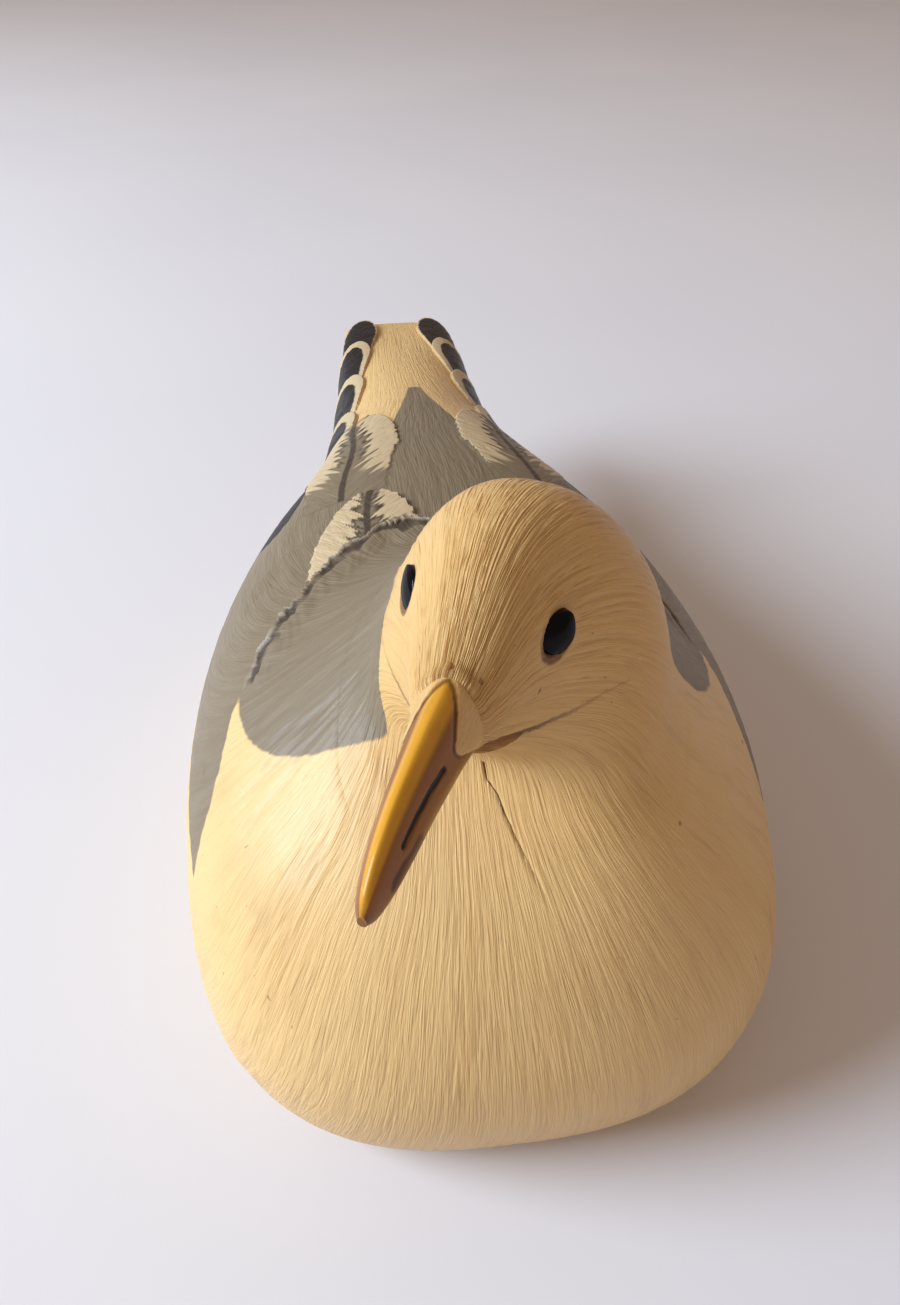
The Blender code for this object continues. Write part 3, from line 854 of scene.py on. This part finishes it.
# Pieces
def body_piece(paint, tree, sockets, eyes):
    """Head, neck, breast, flanks and underside, sunk a little under the finer back."""
    rows_before = np.cumsum((0, *BODY_ROWS))
    places = np.interp(np.arange(sum(BODY_ROWS) + 1), rows_before, np.arange(len(STATIONS)))
    shares = (np.arange(BODY_COLUMNS) / BODY_COLUMNS + 0.5) % 1.0 - 0.5
    shares = np.where(shares == -0.5, 0.5, shares)
    skin = Skin(places, np.sort(shares))
    marks = head_marks(skin)
    eye, below = eye_distance(skin.world, eyes)
    inside = covered(skin)
    behind = (places - BACK_FRONT)[:, None] * STATION_STEP
    hidden = eased(np.minimum(inside, behind), 7.0, 11.0)
    lid = LID_RISE * np.exp(-(((eye - 1.3) / 0.7) ** 2)) - EYE_BED * eased(-eye, 0.3, 1.6)
    throat = (1 - eased(np.abs(marks["crack"]), 0.1, 0.55)) * eased(marks["crack_up"], 80, 88)
    mouth = (1 - eased(np.abs(marks["mouth"]), 0.2, 1.0)) * (1 - eased(marks["mouth_along"], -139, -126))
    chip = np.exp(-((marks["chip"] / 0.7) ** 2))
    over_bill = eased(bill_depth_at(skin.plain), -1.8, 0.0) * (skin.turn > 0.9)
    over_bill = over_bill * eased(skin.plain[..., 1], -152, -149.5)
    rise = lid * (eye < 6) + CHIP_RISE * chip + BILL_LAP * over_bill
    rise = rise - HIDDEN_DEPTH * hidden - THROAT_CUT * throat - MOUTH_CUT * mouth - SKIN_DEPTH
    world = within_length(skin.world + skin.out * (rise * MILLIMETRE)[..., None])
    x, y, z = skin.body
    on_head = eased(skin.turn, 0.2, 0.9)
    brow = on_head * eased(z, 118, 140)
    right_side = eased(x, 12, 48)
    depth = BODY_GROOVE + 0.03 * on_head + 0.08 * brow - 0.05 * right_side * (1 - on_head)
    depth = depth * (1 - 0.45 * eased(waves(x, y, 70.0, 31), 0.1, 0.9))
    depth = depth * (1 - 0.85 * (1 - eased(eye, 0.6, 3.0)))
    depth = depth * (1 - 0.6 * eased(-z, -14, -4)) * (1 - 0.7 * mouth)
    values = {
        **no_marks(eye.shape),
        "flow": groove_flow(skin),
        "out": skin.out,
        "depth": depth * towards_tail(y),
        "grey": paint_places(skin),
        "rim": (1 - eased(eye, 0.15, 1.5)) * (0.35 + 0.65 * below),
        "warm": on_head * np.ones(eye.shape),
        **marks,
    }
    rows, columns = eye.shape
    faces = grid_faces(rows, columns, True)
    faces.append(tuple(range(columns)))
    faces.append(tuple(range((rows - 1) * columns, rows * columns))[::-1])
    item = mesh_from("gull_carving", world, faces, values)
    carve(item, tree, sockets, paint)
    plane_underside(item)
    face_outward(item)
    smooth_shaded(item)
    return item


def plane_underside(item):
    """Cuts the piece off level with the floor and closes it there."""
    shape = bmesh.new()
    shape.from_mesh(item.data)
    everything = list(shape.verts) + list(shape.edges) + list(shape.faces)
    cut = bmesh.ops.bisect_plane(
        shape,
        geom=everything,
        dist=1e-7,
        plane_co=(0, 0, 0.00001),
        plane_no=(0, 0, 1),
        clear_inner=True,
    )
    rim = [part for part in cut["geom_cut"] if isinstance(part, bmesh.types.BMEdge)]
    bmesh.ops.holes_fill(shape, edges=rim, sides=0)
    shape.to_mesh(item.data)
    shape.free()


def back_piece(name, side, paint, tree, sockets):
    """One half of the back: cape, wing, broad feathers, flight feathers and tail."""
    tried = np.linspace(BACK_FRONT, LAST_STATION, 600)
    ends = np.array([station_at(STATIONS, place)[0] for place in tried])
    level = np.linspace(ends[0], STATIONS[-1][0] - 0.3, BACK_ROWS)
    places = np.interp(level, ends, tried)
    shares = np.linspace(0, BACK_REACH, BACK_COLUMNS) * side
    if side < 0:
        shares = shares[::-1]
    off_line = np.where(shares == 0, 1e-9 * side, shares)
    skin = Skin(places, off_line)
    skin.out = ridge_directions(places, shares)
    x, y, z = skin.body
    rise, black, tip, dark, lip, barbs, feathered = back_relief(x, y, z)
    behind = (places - BACK_FRONT)[:, None] * STATION_STEP
    inside = np.minimum(covered(skin), behind)
    lift = BACK_LIFT * eased(inside, 1.0, 7.0) - BACK_SUNK - FLANK_DROP * eased(np.abs(x), 62, 72)
    up = rise * eased(inside, 2.0, 8.0) + lift
    world = within_length(skin.world + skin.out * (up * MILLIMETRE)[..., None])
    skin.run = skin.run + start_of_run(places[0], off_line)
    values = {
        **no_marks(rise.shape),
        "flow": np.where(feathered[..., None], barbs, groove_flow(skin)),
        "out": skin.out,
        "depth": np.where(feathered, BARB_GROOVE, BACK_GROOVE) * towards_tail(y),
        "grey": paint_places(skin),
        "black": black,
        "tip": tip,
        "dark": dark,
        "lip": lip,
    }
    rows, columns = rise.shape
    faces = grid_faces(rows, columns, False)
    for r in range(rows - 1):
        first, last = r * columns, r * columns + columns - 1
        faces.append((first, last, last + columns, first + columns))
    faces.append(tuple(range(columns)))
    faces.append(tuple(range((rows - 1) * columns, rows * columns)))
    item = mesh_from(name, world, faces, values)
    carve(item, tree, sockets, paint)
    face_outward(item)
    smooth_shaded(item)
    return item


def within_length(world):
    """The same places, none further forward or back than the solid."""
    world[..., 1] = np.clip(world[..., 1], CAD_BOUNDS[0][1], CAD_BOUNDS[1][1])
    return world


def start_of_run(place, shares):
    """Length of the lines that run from the face to a station, along each share."""
    count = max(int(place * 10), 2)
    before = Skin(np.linspace(0, place, count), shares)
    return before.run[-1]


def ridge_directions(places, shares):
    """Outward directions that agree on both sides of the back's middle line."""
    margin = abs(shares[1] - shares[0])
    if abs(shares[0]) < 1e-9:
        wide = np.concatenate([[-margin], shares])
        found = Skin(places, np.where(wide == 0, 1e-9, wide)).out[:, 1:]
    else:
        wide = np.concatenate([shares, [margin]])
        found = Skin(places, np.where(wide == 0, -1e-9, wide)).out[:, :-1]
    return found


def bill_piece(paint):
    """The bill with its ridge, nostrils and the feathering that laps over its root."""
    shares = np.arange(BILL_COLUMNS) / BILL_COLUMNS - 0.5 + 0.5 / BILL_COLUMNS
    plain = []
    for place in np.linspace(0, len(BILL_PROFILE) - 1, BILL_ROWS):
        share, ridge, under, wide = station_at(BILL_PROFILE, place)
        along = BILL_TOP[0] - share * BILL_LENGTH
        top = (along, BILL_TOP[1] + (ridge - 1) * BILL_DEPTH)
        bottom = (along, BILL_TOP[1] + (under - 1) * BILL_DEPTH)
        half = wide * BILL_WIDTH / 2
        plain.append(section(top, bottom, half, BILL_WIDEST, *BILL_FULLNESS, shares))
    plain = np.array(plain)
    side = plain[..., 1:]
    lobe = inside_outline(side[..., 0], side[..., 1], LOBE)
    nostril = NOSTRIL_HALF - near_line(side, NOSTRIL_LINE)
    spot = SPOT_HALF - near_line(side, SPOT_LINE)
    placed = in_metres(plain, 1.0)
    out = outward(placed)
    away = placed - placed.mean(1, keepdims=True)
    out = out * np.sign(np.sum(out * away, -1, keepdims=True))
    rise = LOBE_RISE * eased(lobe, -0.2, 0.5) - NOSTRIL_CUT * eased(nostril, -0.2, 0.35)
    rise = rise - LOBE_GROOVE * (1 - eased(np.abs(lobe + 0.5), 0.0, 0.7))
    rise = rise - BILL_ROOT_SUNK * eased(-side[..., 0], 152, 148)
    world = within_length(placed + out * (rise * MILLIMETRE)[..., None])
    depth_share = (BILL_TOP[1] - side[..., 1]) / BILL_DEPTH
    fore = (BILL_TOP[0] - side[..., 0]) / BILL_LENGTH
    # The bill's ridge takes the lit copy of the ochre and its sides the shaded copy (painted light and
    # shade)
    ridge = 1 - eased(np.abs(shares)[None, :] + 0 * fore, 0.075, 0.120)
    values = {
        "warm": np.ones_like(lobe),
        "lobe": lobe,
        "nostril": nostril,
        "spot": spot,
        "ridge": ridge,
        "low": depth_share,
        "fore": fore,
        "flow": np.stack([side[..., 1] / 0.9, plain[..., 0] / 0.9, side[..., 0] / 8.0], -1),
    }
    rows_made, columns = lobe.shape
    faces = grid_faces(rows_made, columns, True)
    faces.append(tuple(range(columns)))
    faces.append(tuple(range((rows_made - 1) * columns, rows_made * columns)))
    item = mesh_from("gull_bill", world, faces, values)
    face_outward(item)
    smooth_shaded(item)
    item.data.materials.append(paint)
    return item


# Paint
CREAM = (0.73, 0.495, 0.215)
CREAM_WARM = (0.65, 0.405, 0.150)
HEAD_CREAM = (0.66, 0.415, 0.160)
TIP_CREAM = (0.56, 0.44, 0.265)
GREY = (0.205, 0.160, 0.100)
GREY_COOL = (0.245, 0.198, 0.130)
BLACK = (0.008, 0.008, 0.011)
BROWN = (0.13, 0.055, 0.018)
# One ochre paint in two copies, lit on the bill's ridge and darker on its sides: painted light and shade
LIT_OCHRE = (0.64, 0.31, 0.022)
SHADED_OCHRE = (0.26, 0.092, 0.010)
MAROON = (0.070, 0.007, 0.007)
WORN_OCHRE = (0.34, 0.14, 0.025)
UNDER_OCHRE = (0.24, 0.10, 0.03)
NOSTRIL_BLACK = (0.012, 0.010, 0.010)
SEAM_BROWN = (0.09, 0.038, 0.014)
# Dark paint of quills and feather edges, also used as painted shade in the cape's notch and at the feet
# of its steps
LINE_AND_SHADE_DARK = (0.05, 0.036, 0.026)
# Painted highlight on the cape's edge
LIP_HIGHLIGHT = (0.50, 0.43, 0.33)
STAIN = (0.10, 0.045, 0.016)
CRACK_DARK = (0.045, 0.022, 0.010)
GRIME = (0.11, 0.042, 0.014)
SPECK = (0.22, 0.11, 0.045)
PIT = (0.16, 0.07, 0.025)
CHIP_PALE = (0.80, 0.66, 0.42)


def new_paint(name, roughness, coat, coat_roughness):
    finish = bpy.data.materials.new(name)
    finish.use_nodes = True
    graph = Graph(finish.node_tree)
    surface = finish.node_tree.nodes["Principled BSDF"]
    surface.inputs["Roughness"].default_value = roughness
    surface.inputs["Coat Weight"].default_value = coat
    surface.inputs["Coat Roughness"].default_value = coat_roughness
    surface.inputs["IOR"].default_value = 1.47
    surface.inputs["Specular IOR Level"].default_value = 0.3
    return finish, graph, surface


def stored(graph, name):
    made = graph.node("ShaderNodeAttribute", {"attribute_name": name}, {})
    return Value(graph, made.outputs["Fac"])


def cream_colour(graph, place, flow):
    """Ivory paint: warmer in patches, browner in streaks."""
    patches = graph.noise(place, 24.0, 3.0, 0.6, 1.0)
    streaks = graph.noise(flow, 0.35, 1.0, 0.5, 2.0)
    share = (patches.step(0.42, 0.72) * 0.35 + streaks.step(0.45, 0.8) * 0.3).least(1.0)
    body = graph.mix(share, CREAM, CREAM_WARM)
    return graph.mix(stored(graph, "warm") * 0.8, body, HEAD_CREAM)


def carving_paint():
    finish, graph, surface = new_paint("painted carving", 0.46, 0.16, 0.22)
    place = graph.node("ShaderNodeTexCoord", {}, {}).outputs["Object"]
    flow = graph.node("ShaderNodeAttribute", {"attribute_name": "flow"}, {}).outputs["Vector"]
    rough_edge = graph.noise(flow, 1.3, 2.0, 0.6, 4.0) - 0.5
    ragged = graph.noise(flow, 0.9, 3.0, 0.7, 9.0) - 0.5
    cream = cream_colour(graph, place, flow)
    grey_share = graph.noise(flow, 0.8, 3.0, 0.6, 5.0).step(0.4, 0.8)
    grey = graph.mix(grey_share, GREY, GREY_COOL)
    is_grey = (stored(graph, "grey") + rough_edge * 1.1).step(-0.35, 0.35)
    colour = graph.mix(is_grey, cream, grey)
    is_tip = (stored(graph, "tip") + ragged * 4.5).step(-0.9, 0.9)
    colour = graph.mix(is_tip, colour, TIP_CREAM)
    is_black = (stored(graph, "black") + rough_edge * 1.6).step(-0.3, 0.3)
    colour = graph.mix(is_black, colour, BLACK)
    # Dark quills and feather edges, with painted shade in the cape's notch and at its steps' feet
    streak = graph.noise(flow, 1.1, 2.0, 0.6, 6.0)
    dark = (stored(graph, "dark") * (0.55 + streak * 0.9)).step(0.15, 0.85)
    colour = graph.mix(dark * 0.92, colour, LINE_AND_SHADE_DARK)
    # Painted highlight on the cape's lip
    colour = graph.mix(stored(graph, "lip") * 0.45, colour, LIP_HIGHLIGHT)
    mouth_fade = stored(graph, "mouth_along").step(-141.0, -122.0)
    mouth_ragged = graph.noise(place, 900.0, 3.0, 0.6, 31.0)
    stain = abs(stored(graph, "mouth") + (mouth_ragged - 0.5) * 1.3)
    stain = (1.0 - (stain / (1.15 - mouth_fade * 0.75)).step(0.35, 1.0)) * (1.0 - mouth_fade * 0.75)
    colour = graph.mix(stain * 0.85, colour, STAIN)
    # The bare gape, in the shaded copy of the ochre (painted shade)
    gape = stored(graph, "gape") + rough_edge * 0.5
    colour = graph.mix(gape.step(-0.1, 0.3), colour, SHADED_OCHRE)
    gape_line = 1.0 - abs(gape).step(0.05, 0.45)
    colour = graph.mix(gape_line * 0.7, colour, STAIN)
    crack_side = abs(stored(graph, "crack") + (graph.noise(place, 500.0, 2.0, 0.5, 33.0) - 0.5) * 0.9)
    crack_open = stored(graph, "crack_up").step(84.0, 97.0)
    crack = 1.0 - (crack_side / (0.06 + crack_open * 0.20)).step(0.5, 1.0)
    colour = graph.mix(crack * (0.25 + crack_open * 0.65), colour, CRACK_DARK)
    cut = stored(graph, "groove")
    grime = graph.noise(place, 42.0, 3.0, 0.6, 8.0).step(0.35, 0.75)
    colour = graph.mix((cut.step(0.45, 1.15) * (0.05 + 0.17 * grime)).least(1.0), colour, BROWN)
    rim = stored(graph, "rim")
    rim_noise = graph.noise(place, 1400.0, 3.0, 0.7, 12.0)
    grimy = (rim * (0.35 + rim_noise * 1.3)).step(0.25, 0.95)
    colour = graph.mix(grimy * 0.85, colour, GRIME)
    specks = graph.noise(place, 520.0, 1.0, 0.5, 15.0).step(0.755, 0.80)
    colour = graph.mix(specks * 0.55, colour, SPECK)
    pits = graph.noise(place, 210.0, 1.0, 0.5, 17.0).step(0.775, 0.80)
    colour = graph.mix(pits * 0.6, colour, PIT)
    chip = 1.0 - stored(graph, "chip").step(0.35, 0.75)
    colour = graph.mix(chip * 0.7, colour, CHIP_PALE)
    graph.feed(surface.inputs["Base Color"], colour)
    fine = graph.noise(graph.scaled(flow, (1.0, 1.0, 0.75)), 2.7, 2.0, 0.55, 21.0)
    lines = 1.0 - abs(fine * 2.0 - 1.0).step(0.0, 0.30)
    middle = graph.noise(flow, 1.25, 1.0, 0.5, 23.0)
    ridges = 1.0 - abs(middle * 2.0 - 1.0).step(0.0, 0.26)
    grain = graph.noise(place, 1900.0, 2.0, 0.6, 25.0)
    height = lines * -0.5 + ridges * -0.6 + grain * 0.10
    bump = graph.node("ShaderNodeBump", {}, {"Strength": 0.55, "Distance": 0.00018, "Height": height})
    graph.feed(surface.inputs["Normal"], bump.outputs[0])
    worn = graph.noise(place, 60.0, 2.0, 0.5, 30.0) * 0.12 - 0.06
    graph.feed(surface.inputs["Roughness"], 0.42 + is_grey * 0.10 + lines * 0.08 + worn)
    return finish


def bill_paint():
    finish, graph, surface = new_paint("painted bill", 0.36, 0.15, 0.16)
    place = graph.node("ShaderNodeTexCoord", {}, {}).outputs["Object"]
    flow = graph.node("ShaderNodeAttribute", {"attribute_name": "flow"}, {}).outputs["Vector"]
    mottle = graph.noise(place, 190.0, 3.0, 0.6, 2.0)
    streak = graph.noise(flow, 1.0, 3.0, 0.6, 3.0)
    # Painted light and shade: lit ochre along the ridge, shaded ochre down the sides
    colour = graph.mix(stored(graph, "ridge"), SHADED_OCHRE, LIT_OCHRE)
    worn = (mottle.step(0.45, 0.8) * 0.3 + streak.step(0.45, 0.8) * 0.2).least(1.0)
    colour = graph.mix(worn, colour, WORN_OCHRE)
    low = stored(graph, "low").step(0.45, 0.85)
    colour = graph.mix(low * 0.35, colour, UNDER_OCHRE)
    spot = (stored(graph, "spot") + (mottle - 0.5) * 2.0).step(-0.4, 0.4)
    colour = graph.mix(spot, colour, MAROON)
    nostril = (stored(graph, "nostril") + (mottle - 0.5) * 0.8).step(-0.15, 0.2)
    colour = graph.mix(nostril, colour, NOSTRIL_BLACK)
    lobe = stored(graph, "lobe") + (streak - 0.5) * 0.7
    cream = cream_colour(graph, place, flow)
    colour = graph.mix(lobe.step(-0.2, 0.25), colour, cream)
    groove = 1.0 - abs(lobe + 0.25).step(0.0, 0.55)
    colour = graph.mix(groove * 0.8, colour, SEAM_BROWN)
    tip = stored(graph, "fore").step(0.97, 1.0)
    colour = graph.mix(tip * 0.35, colour, BROWN)
    graph.feed(surface.inputs["Base Color"], colour)
    fine = graph.noise(flow, 1.6, 2.0, 0.6, 6.0)
    lines = 1.0 - abs(fine * 2.0 - 1.0).step(0.0, 0.3)
    height = lines * -0.7 * lobe.step(0.0, 0.8) + mottle * 0.25
    bump = graph.node("ShaderNodeBump", {}, {"Strength": 0.7, "Distance": 0.00022, "Height": height})
    graph.feed(surface.inputs["Normal"], bump.outputs[0])
    return finish


def glass():
    finish, graph, surface = new_paint("black glass", 0.06, 0.0, 0.03)
    surface.inputs["Specular IOR Level"].default_value = 0.10
    place = graph.node("ShaderNodeTexCoord", {}, {}).outputs["Object"]
    haze = graph.noise(place, 300.0, 2.0, 0.5, 1.0).step(0.3, 0.8)
    colour = graph.mix(haze, (0.003, 0.003, 0.004), (0.012, 0.010, 0.014))
    graph.feed(surface.inputs["Base Color"], colour)
    graph.feed(surface.inputs["Roughness"], 0.05 + haze * 0.06)
    return finish


def floor_paint():
    finish, graph, surface = new_paint("pale floor", 0.7, 0.0, 0.3)
    place = graph.node("ShaderNodeTexCoord", {}, {}).outputs["Object"]
    cloud = graph.noise(place, 3.0, 2.0, 0.5, 1.0).step(0.3, 0.7)
    colour = graph.mix(cloud, (0.74, 0.735, 0.77), (0.77, 0.765, 0.79))
    graph.feed(surface.inputs["Base Color"], colour)
    return finish


# Camera, light and floor
def set_camera():
    data = bpy.data.cameras.new("camera")
    data.sensor_width = 36.0
    data.lens = data.sensor_width * 980 / 1305
    data.clip_start = 0.01
    item = bpy.data.objects.new("camera", data)
    item.location = (-0.0282, -0.2597, 0.250)
    item.rotation_euler = (math.radians(50.0), 0.0, math.radians(-6.95))
    bpy.context.scene.collection.objects.link(item)
    bpy.context.scene.camera = item


def window_light(location, target, size, power, colour):
    data = bpy.data.lights.new("window", "AREA")
    data.shape = "DISK"
    data.size = size
    data.energy = power
    data.color = colour
    item = bpy.data.objects.new("window", data)
    item.location = location
    from_target = np.subtract(location, target)
    level = math.hypot(from_target[0], from_target[1])
    turned = math.atan2(from_target[0], -from_target[1])
    item.rotation_euler = (math.atan2(level, from_target[2]), 0.0, turned)
    bpy.context.scene.collection.objects.link(item)


def set_light():
    world = bpy.data.worlds.new("warm room")
    world.use_nodes = True
    background = world.node_tree.nodes["Background"]
    background.inputs["Color"].default_value = (1.0, 0.76, 0.60, 1.0)
    background.inputs["Strength"].default_value = 0.39
    bpy.context.scene.world = world
    window_light((-1.98, -0.12, 1.17), (0.0, -0.05, 0.05), 1.35, 83.0, (0.76, 0.87, 1.0))


def set_floor():
    bpy.ops.mesh.primitive_plane_add(size=8.0, location=(0, 0, -0.0001))
    floor = bpy.context.object
    floor.name = "floor"
    floor.data.materials.append(floor_paint())


def main():
    paint = carving_paint()
    tree, sockets = groove_tree()
    eyes = {node: eye_frame(node) for node in EYE_SIDE}
    body = body_piece(paint, tree, sockets, eyes)
    left = back_piece("gull_back_left", 1, paint, tree, sockets)
    right = back_piece("gull_back_right", -1, paint, tree, sockets)
    bill = bill_piece(bill_paint())
    for item in (body, left, right, bill):
        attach(item, "root")
    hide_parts("gull")
    black = glass()
    for node, frame_of_eye in eyes.items():
        eye_piece(node, frame_of_eye, black)
    set_camera()
    set_light()
    set_floor()
    bpy.context.scene.view_settings.view_transform = "Standard"


main()
